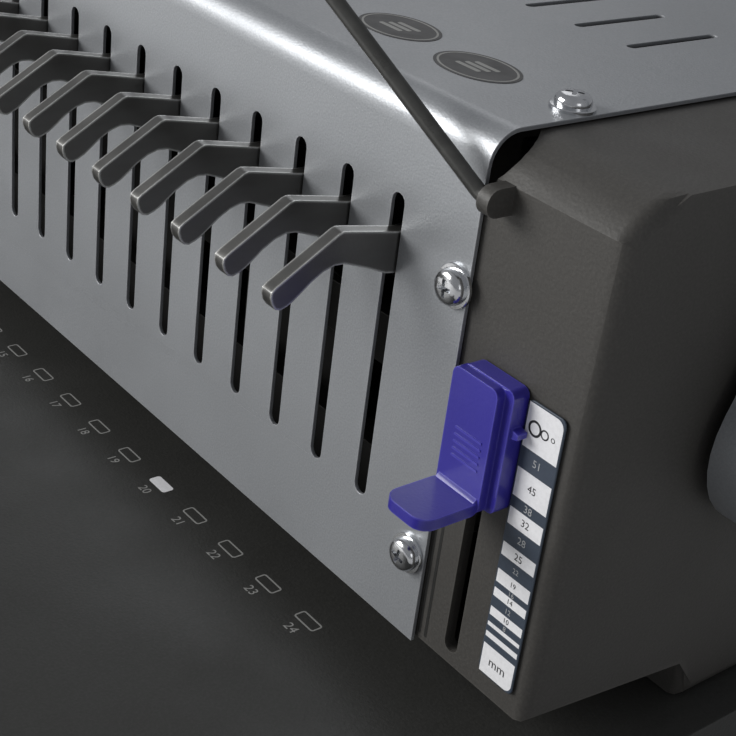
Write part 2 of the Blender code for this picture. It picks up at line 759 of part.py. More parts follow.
def hook_carriage():
    """The bar that carries the hooks, with a tongue at each end for the side frames."""
    origin = (0, CARRIAGE_MIDDLE_Y, CARRIAGE_MIDDLE_Z)
    bm = bmesh.new()
    half_length = FRAME_INNER - OVERRUN
    low = (-half_length, CARRIAGE_FRONT, CARRIAGE_BOTTOM)
    box(bm, low, (half_length, CARRIAGE_BACK, CARRIAGE_TOP))
    bar = piece("hook_carriage", bm, plain_steel(), origin)

    bm = bmesh.new()
    reach = FRAME_OUTER + OVERRUN * 2
    half_thickness = TONGUE_THICKNESS / 2
    half_height = TONGUE_HEIGHT / 2
    low = (-reach, CARRIAGE_MIDDLE_Y - half_thickness, CARRIAGE_MIDDLE_Z - half_height)
    high = (reach, CARRIAGE_MIDDLE_Y + half_thickness, CARRIAGE_MIDDLE_Z + half_height)
    box(bm, low, high)
    fuse(bar, bm)

    bm = bmesh.new()
    outline = hook_outline()
    half = HOOK_THICKNESS / 2 + GAP
    bottom = outline[-2][1] - GAP
    top = outline[-1][1] + GAP
    seat = CARRIAGE_FRONT + HOOK_TAIL + GAP
    for across in ring_places():
        box(bm, (across - half, CARRIAGE_FRONT - OVERRUN, bottom), (across + half, seat, top))
    cut(bar, bm)


def rack_outline():
    """A straight-flanked rack, its teeth towards +Y."""
    low_end = SHAFT_Z - RACK_END_MARGIN
    high_end = SHAFT_Z + HOOK_TRAVEL + RACK_END_MARGIN
    back = RACK_ROOT - RACK_BODY
    lean = tan(PRESSURE_ANGLE)
    half_pitch_tooth = (TOOTH_PITCH - BACKLASH) / 4
    half_root = half_pitch_tooth + DEDENDUM * lean
    half_tip = half_pitch_tooth - ADDENDUM * lean
    tip = RACK_PITCH_LINE + ADDENDUM
    points = [(back, low_end), (RACK_ROOT, low_end)]
    for tooth in range(TEETH_IN_TRAVEL):
        middle = SHAFT_Z + TOOTH_PITCH * (tooth + 1 / 2)
        points += [(RACK_ROOT, middle - half_root), (tip, middle - half_tip)]
        points += [(tip, middle + half_tip), (RACK_ROOT, middle + half_root)]
    return points + [(RACK_ROOT, high_end), (back, high_end)]


def drive_x(side):
    """The two x values between which a rack and its sector lie."""
    outer = side * (FRAME_INNER - RACK_WIDTH / 2)
    return outer - side * RACK_WIDTH, outer


def drive_rack(name, side):
    bm = bmesh.new()
    start, end = drive_x(side)
    prism(bm, rack_outline(), "X", start, end)
    piece(name, bm, plain_steel(), (0, RACK_PITCH_LINE, CARRIAGE_MIDDLE_Z))


# Sector gears: involute teeth over the arc that the lever turns
SECTOR_HUB_RADIUS = 0.012
FLANK_STEPS = 3
SECTOR_MARGIN = radians(7)


def involute(angle):
    return tan(angle) - angle


def tooth_flank():
    """(radius, half angle) pairs up one involute flank, from the root to the tip."""
    base = PITCH_RADIUS * cos(PRESSURE_ANGLE)
    root = PITCH_RADIUS - DEDENDUM
    tip = PITCH_RADIUS + ADDENDUM
    half_at_pitch = (TOOTH_PITCH - BACKLASH) / 4 / PITCH_RADIUS
    constant = half_at_pitch + involute(PRESSURE_ANGLE)
    flank = [(root, constant)]
    for step in range(FLANK_STEPS + 1):
        radius = base + (tip - base) * step / FLANK_STEPS
        flank.append((radius, constant - involute(acos(min(1, base / radius)))))
    return flank


def around_shaft(radius, angle):
    """A point around the shaft; the angle runs from the front (-Y) upwards."""
    return (SHAFT_Y - radius * cos(angle), SHAFT_Z + radius * sin(angle))


def sector_outline():
    flank = tooth_flank()
    root = flank[0][0]
    step_angle = TOOTH_PITCH / PITCH_RADIUS
    first = -SECTOR_MARGIN
    last = step_angle * TEETH_IN_TRAVEL + SECTOR_MARGIN
    points = [around_shaft(root, first)]
    for tooth in range(TEETH_IN_TRAVEL + 1):
        middle = step_angle * tooth
        points += [around_shaft(radius, middle - half) for radius, half in flank]
        points += [around_shaft(radius, middle + half) for radius, half in reversed(flank)]
    points.append(around_shaft(root, last))
    hub_steps = ROUND_STEPS // 2
    hub_start = last + pi / 4
    hub_end = 2 * pi + first - pi / 4
    for step in range(hub_steps + 1):
        points.append(around_shaft(SECTOR_HUB_RADIUS, hub_start + (hub_end - hub_start) * step / hub_steps))
    return points


def bored(name, bm, start, end, finish):
    """A piece on the shaft, with the shaft's hole through it."""
    made = piece(name, bm, finish, (0, SHAFT_Y, SHAFT_Z))
    tool = bmesh.new()
    low, high = sorted((start, end))
    prism(tool, circle((SHAFT_Y, SHAFT_Z), SHAFT_RADIUS + GAP), "X", low - OVERRUN, high + OVERRUN)
    cut(made, tool)
    return made


def sector_gear(name, side):
    bm = bmesh.new()
    start, end = drive_x(side)
    prism(bm, sector_outline(), "X", start, end)
    bored(name, bm, start, end, plain_steel())


# Cams: a spiral that pushes the pressure bar down in step with the lever
CAM_X = 0.110
CAM_WIDTH = 0.008
CAM_HUB_RADIUS = 0.012
CAM_LEAD_IN = radians(40)
CAM_RUN_OUT = radians(30)
CAM_STEP = radians(8)


def cam_radius(angle):
    """The cam's radius at an angle from straight down, towards the front."""
    peak = CAM_BASE_RADIUS + CAM_RISE * LEVER_TURN
    if angle < 0:
        share = max(0, 1 + angle / CAM_LEAD_IN)
        return CAM_HUB_RADIUS + (CAM_BASE_RADIUS - CAM_HUB_RADIUS) * share
    if angle <= LEVER_TURN:
        return CAM_BASE_RADIUS + CAM_RISE * angle
    share = max(0, 1 - (angle - LEVER_TURN) / CAM_RUN_OUT)
    return CAM_HUB_RADIUS + (peak - CAM_HUB_RADIUS) * share


def punch_cam(name, side):
    steps = round(2 * pi / CAM_STEP)
    outline = []
    for step in range(steps):
        angle = 2 * pi * step / steps - CAM_LEAD_IN
        radius = cam_radius(angle)
        outline.append((SHAFT_Y - radius * sin(angle), SHAFT_Z - radius * cos(angle)))
    bm = bmesh.new()
    start = side * CAM_X - CAM_WIDTH / 2
    end = start + CAM_WIDTH
    prism(bm, outline, "X", start, end)
    bored(name, bm, start, end, plain_steel())


# Lever: hub and strap outside the right casing, a soft grip at the top
LEVER_LENGTH = 0.250
LEVER_REST_BACK = radians(20)
LEVER_HUB_RADIUS = 0.018
LEVER_END_RADIUS = 0.008
LEVER_THICKNESS = 0.007
HUB_CLEARANCE = 0.001
HUB_BOSS_RADIUS = 0.0145
HUB_BOSS_LENGTH = 0.0150
SHAFT_LEFT_STAND = 0.004
GRIP_START = 0.138
GRIP_OVERHANG = 0.014
GRIP_HALF_WIDTH = 0.0105
GRIP_HALF_DEPTH = 0.0150
GRIP_SECTION_STEPS = 20
GRIP_SHARES = (
    (0.0, 0.70),
    (0.02, 0.86),
    (0.08, 0.93),
    (0.25, 0.86),
    (0.45, 0.92),
    (0.70, 1.0),
    (0.90, 0.97),
    (0.97, 0.82),
    (1.0, 0.55),
)

HUB_START = CASING_OUTER + HUB_CLEARANCE
HUB_END = HUB_START + HUB_BOSS_LENGTH
STRAP_START = HUB_START + HUB_CLEARANCE * 2
STRAP_END = STRAP_START + LEVER_THICKNESS
SHAFT_END = HUB_END - HUB_CLEARANCE * 2


def along_lever(distance, across=0.0):
    """A (y, z) point at a distance up the lever and to its rear."""
    up = Vector((sin(LEVER_REST_BACK), cos(LEVER_REST_BACK)))
    rear = Vector((cos(LEVER_REST_BACK), -sin(LEVER_REST_BACK)))
    spot = Vector((SHAFT_Y, SHAFT_Z)) + up * distance + rear * across
    return (spot.x, spot.y)


def drive_shaft():
    bm = bmesh.new()
    start = -(FRAME_OUTER + SHAFT_LEFT_STAND)
    prism(bm, circle((SHAFT_Y, SHAFT_Z), SHAFT_RADIUS), "X", start, SHAFT_END - GAP)
    piece("drive_shaft", bm, plain_steel(), (0, SHAFT_Y, SHAFT_Z))


def lever_strap(extra):
    """The strap's outline, grown by extra for the grip's pocket."""
    hub = LEVER_HUB_RADIUS + extra
    tip = LEVER_END_RADIUS + extra
    return hull_of_circles((SHAFT_Y, SHAFT_Z), hub, along_lever(LEVER_LENGTH), tip)


def lever_arm():
    origin = (0, SHAFT_Y, SHAFT_Z)
    bm = bmesh.new()
    prism(bm, lever_strap(0), "X", STRAP_START, STRAP_END)
    arm = piece("lever_arm", bm, silver(), origin)
    bm = bmesh.new()
    prism(bm, circle((SHAFT_Y, SHAFT_Z), HUB_BOSS_RADIUS), "X", HUB_START, HUB_END)
    fuse(arm, bm)
    bm = bmesh.new()
    prism(bm, circle((SHAFT_Y, SHAFT_Z), SHAFT_RADIUS + GAP), "X", HUB_START - OVERRUN, SHAFT_END)
    cut(arm, bm)


def lever_grip():
    """An oval grip, lofted through its sections, with a pocket for the strap."""
    bm = bmesh.new()
    middle = (STRAP_START + STRAP_END) / 2
    length = LEVER_LENGTH - GRIP_START + GRIP_OVERHANG
    rings = []
    for length_share, size_share in GRIP_SHARES:
        ring = []
        for a, b in circle((0, 0), size_share, GRIP_SECTION_STEPS):
            y, z = along_lever(GRIP_START + length * length_share, GRIP_HALF_DEPTH * b)
            ring.append(bm.verts.new((middle + GRIP_HALF_WIDTH * a, y, z)))
        rings.append(ring)
    for lower, upper in zip(rings, rings[1:]):
        for index in range(GRIP_SECTION_STEPS):
            before = index - 1
            bm.faces.new((lower[before], lower[index], upper[index], upper[before]))
    bm.faces.new(rings[0])
    bm.faces.new(rings[-1])
    grip = piece("lever_grip", bm, black_rubber(), (0, SHAFT_Y, SHAFT_Z))
    bm = bmesh.new()
    prism(bm, lever_strap(GAP), "X", STRAP_START - GAP, STRAP_END + GAP)
    cut(grip, bm)


CAP_THICKNESS = 0.003
CAP_DOME = 0.0012


def hub_cap():
    bm = bmesh.new()
    turn = Matrix.Translation((HUB_END + GAP, SHAFT_Y, SHAFT_Z)) @ Matrix.Rotation(pi / 2, 4, "Y")
    edge = CAP_THICKNESS - CAP_DOME
    profile = ((0, 0), (HUB_BOSS_RADIUS, 0), (HUB_BOSS_RADIUS, edge))
    profile += ((HUB_BOSS_RADIUS - CAP_DOME * 2, CAP_THICKNESS), (0, CAP_THICKNESS))
    turned(bm, profile, turn, ROUND_STEPS)
    piece("hub_cap", bm, dark_casing(), (0, SHAFT_Y, SHAFT_Z))


# Comb size slider: an upright face with a finger shelf, and a pointer to the scale
SLIDER_FROM_ROW = 0.0240
SLIDER_LEFT = ROW_HALF + SLIDER_FROM_ROW
SLIDER_WIDTH = 0.0130
SLIDER_BELOW = 0.0200
SLIDER_FACE_HEIGHT = 0.0220
SLIDER_FACE_OUT = 0.0056
SLIDER_FACE_WIDTH = 0.0110
SLIDER_FACE_THICKNESS = 0.0024
SLIDER_CORNER = 0.0015
WEB_INSET = 0.0006
SHELF_OUT = 0.0122
SHELF_THICKNESS = 0.0024
SHELF_CORNER = 0.0030
FILLET = 0.0012
STEM_HEIGHT = 0.006
STEM_BELOW_TOP = 0.0064
POINTER_OUT = 0.0036
POINTER_BELOW_TOP = 0.0062
POINTER_HEIGHT = 0.0030
POINTER_DEPTH = 0.0022
CLIP_SIZE = 0.0085
CLIP_THICKNESS = 0.0018
SLIDER_TOP = SLOT_TOP - SLIDER_BELOW


def comb_size_slider():
    """A web on the casing, a face plate and a finger shelf before it, and the scale's pointer."""
    back = CASING_FRONT - GAP
    face = CASING_FRONT - SLIDER_FACE_OUT
    face_back = face + SLIDER_FACE_THICKNESS
    fold = SLIDER_TOP - SLIDER_FACE_HEIGHT
    foot = fold - SHELF_THICKNESS
    face_right = SLIDER_LEFT + SLIDER_FACE_WIDTH

    bm = bmesh.new()
    low = (SLIDER_LEFT + WEB_INSET, foot + WEB_INSET)
    high = (SLIDER_LEFT + SLIDER_WIDTH, SLIDER_TOP)
    prism(bm, rounded_rectangle(low, high, SLIDER_CORNER, 3), "Y", face_back - WEB_INSET, back)
    slider = piece("comb_size_slider", bm, blue_plastic(), (SLIDER_SLOT_X, CASING_FRONT, SLIDER_TOP))

    bm = bmesh.new()
    low = (SLIDER_LEFT, foot)
    high = (face_right, SLIDER_TOP - WEB_INSET / 2)
    prism(bm, rounded_rectangle(low, high, SLIDER_CORNER, 3), "Y", face, face_back)
    fuse(slider, bm)

    bm = bmesh.new()
    low = (SLIDER_LEFT + WEB_INSET / 3, face - SHELF_OUT)
    high = (face_right - WEB_INSET / 3, face_back - WEB_INSET)
    prism(bm, rounded_rectangle(low, high, SHELF_CORNER), "Z", foot + WEB_INSET / 3, fold)
    fuse(slider, bm)

    bm = bmesh.new()
    corner = ((face - FILLET, fold - WEB_INSET), (face + WEB_INSET, fold - WEB_INSET))
    corner += ((face + WEB_INSET, fold + FILLET), (face - FILLET / 3, fold + FILLET / 3))
    prism(bm, corner, "X", SLIDER_LEFT + WEB_INSET, face_right - WEB_INSET)
    fuse(slider, bm)

    bm = bmesh.new()
    half = SLIDER_SLOT_WIDTH / 2 - GAP
    top = SLIDER_TOP - STEM_BELOW_TOP
    low = (SLIDER_SLOT_X - half, back - WEB_INSET, top - STEM_HEIGHT)
    box(bm, low, (SLIDER_SLOT_X + half, CASING_FRONT + CASING_WALL + GAP, top))
    fuse(slider, bm)

    bm = bmesh.new()
    tip = face_right + POINTER_OUT
    pointer_top = SLIDER_TOP - POINTER_BELOW_TOP
    outline = (
        (face_right - WEB_INSET, pointer_top),
        (tip, pointer_top - POINTER_HEIGHT / 3),
        (tip, pointer_top - POINTER_HEIGHT * 2 / 3),
        (face_right - WEB_INSET, pointer_top - POINTER_HEIGHT),
    )
    pointer_back = CASING_FRONT - SCALE_THICKNESS - GAP * 2
    prism(bm, outline, "Y", pointer_back - POINTER_DEPTH, pointer_back)
    fuse(slider, bm)


def slider_clip():
    """The plate behind the casing wall that keeps the slider in its slot."""
    bm = bmesh.new()
    top = SLIDER_TOP - STEM_BELOW_TOP
    back = CASING_FRONT + CASING_WALL + GAP * 2
    half = CLIP_SIZE / 2
    low = (SLIDER_SLOT_X - half, back, top - CLIP_SIZE)
    box(bm, low, (SLIDER_SLOT_X + half, back + CLIP_THICKNESS, top))
    piece("slider_clip", bm, plain_steel(), (SLIDER_SLOT_X, CASING_FRONT, SLIDER_TOP))


# Scale plate beside the slider
SCALE_FROM_ROW = 0.0373
SCALE_LEFT = ROW_HALF + SCALE_FROM_ROW
SCALE_WIDTH = 0.0087
SCALE_BELOW = 0.0213
SCALE_HEIGHT = 0.0562
SCALE_THICKNESS = 0.0004
SCALE_CORNER = 0.0012


def size_scale():
    bm = bmesh.new()
    top = SLOT_TOP - SCALE_BELOW
    low = (SCALE_LEFT, top - SCALE_HEIGHT)
    outline = rounded_rectangle(low, (SCALE_LEFT + SCALE_WIDTH, top), SCALE_CORNER, 3)
    back = CASING_FRONT - GAP
    prism(bm, outline, "Y", back - SCALE_THICKNESS, back)
    piece("size_scale", bm, label_white())


# Wire sheet support: a bent wire whose feet turn in the casings' lugs
BAIL_HEIGHT = 0.075
BAIL_SPLAY = radians(50)
BAIL_LEAN = radians(22)
BAIL_BEND = 0.0035
BEND_STEPS = 5


def rounded_path(corners, radius, steps):
    """The corners' path with each inner corner turned into an arc."""
    path = [corners[0]]
    for before, corner, after in zip(corners, corners[1:], corners[2:]):
        back = (before - corner).normalized()
        ahead = (after - corner).normalized()
        half = back.angle(ahead) / 2
        centre = corner + (back + ahead).normalized() * (radius / sin(half))
        first = corner + back * (radius / tan(half)) - centre
        second = corner + ahead * (radius / tan(half)) - centre
        sweep = first.angle(second)
        for step in range(steps + 1):
            share = step / steps
            spot = (first * sin(sweep * (1 - share)) + second * sin(sweep * share)) / sin(sweep)
            path.append(centre + spot)
    path.append(corners[-1])
    return path


def wire_support():
    foot = BAIL_LUG_X + BAIL_BORE_DEPTH - GAP
    elbow = PLATE_HALF + BAIL_WIRE / 2
    top = elbow - BAIL_HEIGHT * tan(BAIL_SPLAY)
    half_path = [Vector((foot, 0, 0)), Vector((elbow, 0, 0)), Vector((top, 0, BAIL_HEIGHT))]
    corners = half_path + [Vector((-corner.x, 0, corner.z)) for corner in reversed(half_path)]
    points = rounded_path(corners, BAIL_BEND, BEND_STEPS)
    curve = bpy.data.curves.new("wire_support", "CURVE")
    curve.dimensions = "3D"
    curve.bevel_depth = BAIL_WIRE / 2
    curve.bevel_resolution = 2
    curve.use_fill_caps = True
    spline = curve.splines.new("POLY")
    spline.points.add(len(points) - 1)
    for spot, point in zip(spline.points, points):
        spot.co = point.to_4d()
    curve.materials.append(black_wire())
    wire = bpy.data.objects.new("wire_support", curve)
    wire.location = (0, BAIL_Y, BAIL_Z)
    wire.rotation_euler = (BAIL_LEAN, 0, 0)
    bpy.context.collection.objects.link(wire)


def edge_guide():
    bm = bmesh.new()
    bottom = TRAY_TOP + GAP
    left = EDGE_GUIDE_RIGHT - EDGE_GUIDE_FOOT
    outline = (
        (left, bottom),
        (EDGE_GUIDE_RIGHT, bottom),
        (EDGE_GUIDE_RIGHT, bottom + EDGE_GUIDE_HEIGHT),
        (EDGE_GUIDE_RIGHT - EDGE_GUIDE_WALL, bottom + EDGE_GUIDE_HEIGHT),
        (EDGE_GUIDE_RIGHT - EDGE_GUIDE_WALL * 2, bottom + EDGE_GUIDE_FLOOR),
        (left, bottom + EDGE_GUIDE_FLOOR),
    )
    prism(bm, outline, "Y", EDGE_GUIDE_FRONT, EDGE_GUIDE_FRONT + EDGE_GUIDE_LENGTH)
    guide = piece("edge_guide", bm, base_plastic(), (EDGE_GUIDE_RIGHT, GUIDE_GROOVE_Y, TRAY_TOP))
    bm = bmesh.new()
    low = (left + OVERRUN, GUIDE_GROOVE_Y + GAP, TRAY_TOP - GUIDE_GROOVE_DEPTH + GAP)
    high = (EDGE_GUIDE_RIGHT - OVERRUN, GUIDE_GROOVE_Y + GUIDE_GROOVE_WIDTH - GAP, bottom + OVERRUN)
    box(bm, low, high)
    fuse(guide, bm)


# Margin knob on the left casing
KNOB_RADIUS = 0.016
KNOB_FLUTES = 18
KNOB_FLUTE_DEPTH = 0.0007
KNOB_LENGTH = 0.013
KNOB_STEPS_PER_FLUTE = 4


def margin_knob():
    bm = bmesh.new()
    steps = KNOB_FLUTES * KNOB_STEPS_PER_FLUTE
    outline = []
    for step in range(steps):
        angle = 2 * pi * step / steps
        radius = KNOB_RADIUS - KNOB_FLUTE_DEPTH * (1 - cos(KNOB_FLUTES * angle)) / 2
        outline.append((KNOB_Y + radius * cos(angle), KNOB_Z + radius * sin(angle)))
    inner = -CASING_OUTER - GAP
    prism(bm, outline, "X", inner, inner - KNOB_LENGTH)
    knob = piece("margin_knob", bm, dark_casing(), (inner, KNOB_Y, KNOB_Z))
    bm = bmesh.new()
    stub = circle((KNOB_Y, KNOB_Z), KNOB_STUB_RADIUS, HOLE_STEPS)
    prism(bm, stub, "X", inner - OVERRUN, -CASING_OUTER + CASING_WALL + OVERRUN)
    fuse(knob, bm)


# Chip drawer: slides out of the left side of the base
DRAWER_TRAVEL = 0.260
DRAWER_WALL = 0.0018
DRAWER_CLEARANCE = 0.0005
DRAWER_FACE = 0.003
DRAWER_FACE_MARGIN = 0.0025
DRAWER_LIP_OUT = 0.006
DRAWER_LIP_HEIGHT = 0.004


def chip_drawer():
    left = -BASE_HALF_WIDTH - GAP
    low = Vector((left - OVERRUN, BAY_FRONT + DRAWER_CLEARANCE, BAY_BOTTOM + GAP))
    high = Vector((BAY_RIGHT_END - DRAWER_CLEARANCE, BAY_REAR - DRAWER_CLEARANCE, BAY_TOP - DRAWER_CLEARANCE))
    bm = bmesh.new()
    box(bm, low, high)
    drawer = piece("chip_drawer", bm, base_plastic(), (left, BAY_FRONT, BAY_BOTTOM))

    bm = bmesh.new()
    margin = Vector((0, DRAWER_FACE_MARGIN, DRAWER_FACE_MARGIN))
    face_low = Vector((left - DRAWER_FACE, low.y, low.z)) - margin
    face_high = Vector((left, high.y, high.z)) + margin
    box(bm, face_low, face_high)
    fuse(drawer, bm)

    bm = bmesh.new()
    lip_low = Vector((left - DRAWER_FACE - DRAWER_LIP_OUT, low.y, face_high.z - DRAWER_LIP_HEIGHT))
    box(bm, lip_low, (left - DRAWER_FACE + OVERRUN, high.y, face_high.z - OVERRUN))
    fuse(drawer, bm)

    bm = bmesh.new()
    wall = Vector((DRAWER_WALL, DRAWER_WALL, DRAWER_WALL))
    inside_low = low + wall
    inside_high = Vector((high.x - DRAWER_WALL, high.y - DRAWER_WALL, high.z + OVERRUN))
    box(bm, inside_low + Vector((DRAWER_FACE, 0, 0)), inside_high)
    cut(drawer, bm)


def clear_scene():
    for old in list(bpy.data.objects):
        bpy.data.objects.remove(old, do_unlink=True)


def centre_over_footprint():
    """Move the whole machine so that the middle of its box's bottom is the origin."""
    bpy.context.view_layer.update()
    graph = bpy.context.evaluated_depsgraph_get()
    low = Vector((float("inf"),) * 3)
    high = -low
    for made in bpy.data.objects:
        if made.hide_render:
            continue
        shown = made.evaluated_get(graph)
        mesh = shown.to_mesh()
        for vertex in mesh.vertices:
            spot = made.matrix_world @ vertex.co
            low = Vector(map(min, low, spot))
            high = Vector(map(max, high, spot))
        shown.to_mesh_clear()
    shift = Vector(((low.x + high.x) / 2, (low.y + high.y) / 2, low.z))
    for made in bpy.data.objects:
        made.location -= shift


def build():
    clear_scene()
    base_tray()
    rubber_foot("front_left_foot", -1, BASE_FRONT + FOOT_INSET)
    rubber_foot("front_right_foot", 1, BASE_FRONT + FOOT_INSET)
    rubber_foot("rear_left_foot", -1, BASE_REAR - FOOT_INSET)
    rubber_foot("rear_right_foot", 1, BASE_REAR - FOOT_INSET)
    left_casing()
    right_casing()
    front_cover()
    rear_cover()
    side_frame("left_frame", -1)
    side_frame("right_frame", 1)
    shaft_bush("left_bush", -1)
    shaft_bush("right_bush", 1)
    size_scale()
    die_block()
    pin_guide()
    guide_post("left_guide_post", -1)
    guide_post("right_guide_post", 1)
    punch_head()
    hook_carriage()
    comb_hooks()
    drive_rack("left_rack", -1)
    drive_rack("right_rack", 1)
    drive_shaft()
    sector_gear("left_sector_gear", -1)
    sector_gear("right_sector_gear", 1)
    punch_cam("left_punch_cam", -1)
    punch_cam("right_punch_cam", 1)
    lever_arm()
    lever_grip()
    hub_cap()
    comb_size_slider()
    slider_clip()
    wire_support()
    edge_guide()
    margin_knob()
    chip_drawer()
    centre_over_footprint()


build()
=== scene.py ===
"""The comb binding machine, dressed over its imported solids, seen as in the photograph."""

import json
from math import cos, pi, radians, sin

import bmesh
import bpy
from mathutils import Matrix, Vector


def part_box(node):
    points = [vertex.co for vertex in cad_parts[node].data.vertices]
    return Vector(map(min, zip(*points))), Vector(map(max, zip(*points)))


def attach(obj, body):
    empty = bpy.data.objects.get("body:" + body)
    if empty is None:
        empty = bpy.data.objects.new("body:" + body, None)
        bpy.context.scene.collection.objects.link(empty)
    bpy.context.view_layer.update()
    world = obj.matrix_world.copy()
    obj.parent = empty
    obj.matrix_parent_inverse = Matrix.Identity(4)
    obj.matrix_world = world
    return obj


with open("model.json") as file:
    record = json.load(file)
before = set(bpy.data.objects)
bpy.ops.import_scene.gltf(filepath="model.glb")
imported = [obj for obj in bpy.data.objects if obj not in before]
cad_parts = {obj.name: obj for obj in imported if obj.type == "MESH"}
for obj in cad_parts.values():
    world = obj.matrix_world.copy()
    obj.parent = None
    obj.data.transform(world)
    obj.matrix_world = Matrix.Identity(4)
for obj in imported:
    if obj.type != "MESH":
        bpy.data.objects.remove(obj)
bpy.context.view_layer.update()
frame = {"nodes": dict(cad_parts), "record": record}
MM = 0.001

# Places of the machine, read from its solids
PLATE_LOW, PLATE_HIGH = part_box("front_cover")
FRONT = PLATE_LOW.y
TOP = PLATE_HIGH.z
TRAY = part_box("base_tray")[1].z
LAST_HOOK = sum(corner.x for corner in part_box("comb_hook_24")) / 2
FIRST_HOOK = sum(corner.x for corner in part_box("comb_hook_01")) / 2
RINGS = 24
PITCH = (LAST_HOOK - FIRST_HOOK) / (RINGS - 1)
TOP_ABOVE_SLOTS = 18 * MM
SLOT_TOP = TOP - TOP_ABOVE_SLOTS


def here(across, back, up):
    """A point measured in mm from the last hook, the plate's front and the slots' top."""
    return Vector((LAST_HOOK + across * MM, FRONT + back * MM, SLOT_TOP + up * MM))


# Materials


class Look:
    """A Principled material whose detail comes from a few layers of noise."""

    def __init__(self, name, colour, roughness, metallic=0.0, coat=0.0):
        self.material = bpy.data.materials.new(name)
        self.material.use_nodes = True
        self.nodes = self.material.node_tree.nodes
        self.links = self.material.node_tree.links
        self.shader = self.nodes["Principled BSDF"]
        self.shader.inputs["Metallic"].default_value = metallic
        self.shader.inputs["Coat Weight"].default_value = coat
        self.place = self.nodes.new("ShaderNodeTexCoord").outputs["Object"]
        self.colour = self.rgb(colour)
        self.base = roughness
        self.height = None

    def rgb(self, colour):
        node = self.nodes.new("ShaderNodeRGB")
        node.outputs[0].default_value = (*colour, 1)
        return node.outputs[0]

    def stretched(self, scale):
        node = self.nodes.new("ShaderNodeMapping")
        node.inputs["Scale"].default_value = scale
        self.links.new(self.place, node.inputs["Vector"])
        return node.outputs["Vector"]

    def noise(self, scale, detail=3.0, stretch=None):
        """Noise with about `scale` grains to the metre."""
        node = self.nodes.new("ShaderNodeTexNoise")
        node.inputs["Scale"].default_value = scale
        node.inputs["Detail"].default_value = detail
        vector = self.stretched(stretch) if stretch else self.place
        self.links.new(vector, node.inputs["Vector"])
        return node.outputs["Fac"]

    def ramp(self, value, low, high, start=0.0, end=1.0):
        node = self.nodes.new("ShaderNodeMapRange")
        for name, number in zip(("From Min", "From Max", "To Min", "To Max"), (low, high, start, end)):
            node.inputs[name].default_value = number
        self.links.new(value, node.inputs["Value"])
        return node.outputs["Result"]

    def tint(self, value, colour, strength=1.0):
        """Blend towards a colour where value is high."""
        node = self.nodes.new("ShaderNodeMix")
        node.data_type = "RGBA"
        self.links.new(self.ramp(value, 0, 1, 0, strength), node.inputs["Factor"])
        self.links.new(self.colour, node.inputs[6])
        node.inputs[7].default_value = (*colour, 1)
        self.colour = node.outputs[2]

    def worn_edges(self, colour, width, strength):
        """Lighter where a rounded normal departs from the real one: rubbed wear along an edge, and a
        painted highlight where light catches the edge.
        """
        bevel = self.nodes.new("ShaderNodeBevel")
        bevel.samples = 6
        bevel.inputs["Radius"].default_value = width
        geometry = self.nodes.new("ShaderNodeNewGeometry")
        product = self.nodes.new("ShaderNodeVectorMath")
        product.operation = "DOT_PRODUCT"
        self.links.new(bevel.outputs["Normal"], product.inputs[0])
        self.links.new(geometry.outputs["Normal"], product.inputs[1])
        self.tint(self.ramp(product.outputs["Value"], 0.995, 0.9), colour, strength)

    def relief(self, value, depth):
        bump = self.nodes.new("ShaderNodeBump")
        bump.inputs["Strength"].default_value = 1.0
        bump.inputs["Distance"].default_value = depth
        self.links.new(value, bump.inputs["Height"])
        if self.height:
            self.links.new(self.height, bump.inputs["Normal"])
        self.height = bump.outputs["Normal"]

    def made(self, uneven=0.06, patch=40.0):
        """Join the layers and vary the roughness over patches of about 1 / patch metres."""
        self.links.new(self.colour, self.shader.inputs["Base Color"])
        rough = self.ramp(self.noise(patch, 4.0), 0.3, 0.7, self.base - uneven, self.base + uneven)
        self.links.new(rough, self.shader.inputs["Roughness"])
        if self.height:
            self.links.new(self.height, self.shader.inputs["Normal"])
        return self.material


def silver_paint():
    look = Look("silver_paint_fine", (0.33, 0.345, 0.365), 0.38, 0.5)
    look.tint(look.ramp(look.noise(2600, 2.0), 0.35, 0.7), (0.47, 0.48, 0.5), 0.5)
    look.tint(look.ramp(look.noise(24, 3.0), 0.35, 0.75), (0.28, 0.29, 0.305), 0.35)
    look.relief(look.noise(2200, 3.0), 0.00004)
    look.worn_edges((0.62, 0.63, 0.65), 0.0004, 0.6)
    return look.made(0.05)


def moulded(name, colour, lighter, roughness, grain):
    look = Look(name, colour, roughness)
    look.tint(look.ramp(look.noise(1900, 2.0), 0.4, 0.7), lighter, 0.45)
    look.tint(look.ramp(look.noise(18, 4.0), 0.35, 0.8), lighter, 0.3)
    look.relief(look.noise(1500, 4.0), grain)
    look.worn_edges(lighter, 0.0008, 0.5)
    return look.made(0.07)


def hook_steel():
    look = Look("hook_steel_fine", (0.17, 0.168, 0.162), 0.36, 0.85)
    look.tint(look.ramp(look.noise(420, 4.0, (1, 0.2, 1)), 0.3, 0.75), (0.13, 0.128, 0.12), 0.5)
    look.relief(look.noise(1400, 4.0), 0.00003)
    # The hooks' strong, near-white edge tint is mostly painted highlight on their bright top edges, with
    # some rubbed wear.
    look.worn_edges((0.75, 0.75, 0.73), 0.0008, 1.0)
    return look.made(0.08, 120)


def machined_steel():
    look = Look("machined_steel_fine", (0.36, 0.355, 0.34), 0.38, 1.0)
    look.tint(look.ramp(look.noise(160, 3.0, (0.06, 1, 1)), 0.3, 0.7), (0.24, 0.235, 0.225), 0.5)
    look.relief(look.noise(900, 3.0, (0.05, 1, 1)), 0.00003)
    look.worn_edges((0.6, 0.6, 0.58), 0.0006, 0.7)
    return look.made(0.08)
